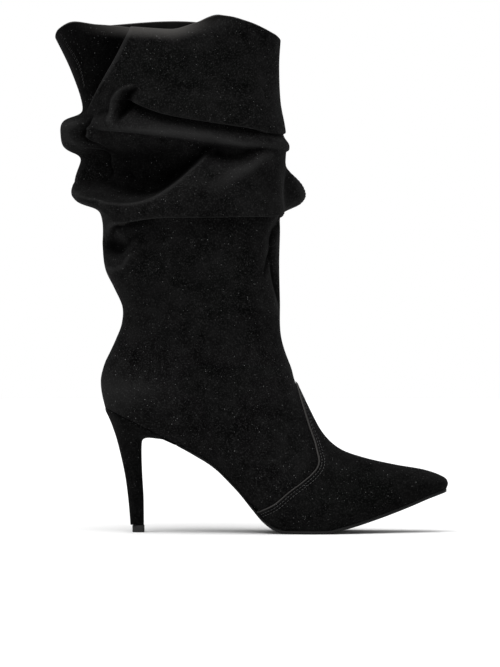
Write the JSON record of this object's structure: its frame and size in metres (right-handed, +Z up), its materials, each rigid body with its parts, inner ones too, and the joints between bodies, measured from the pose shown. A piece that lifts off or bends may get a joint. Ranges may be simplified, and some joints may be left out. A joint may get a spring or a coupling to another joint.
{
  "type": "slouch boot",
  "caption": "Right high-heeled boot in black suede with a slack, deeply folded shaft, a pointed toe with a laid-over vamp and a slim stiletto heel.",
  "frame": {"origin": "on the floor, at the centre of the heel tip's flat", "axes": "+X towards the toe, +Y towards the inner (medial) side, +Z up; the outer (lateral) side faces -Y"},
  "size_m": [0.279, 0.1065, 0.365],
  "materials": {
    "suede": "napped",
    "sole": "satin",
    "lift": "matte",
    "lining": "matte"
  },
  "bodies": {
    "root": {"upper": "suede", "vamp": "suede", "heel": "suede", "outsole": "sole", "top_lift": "lift", "insole": "lining"}
  },
  "joints": []
}
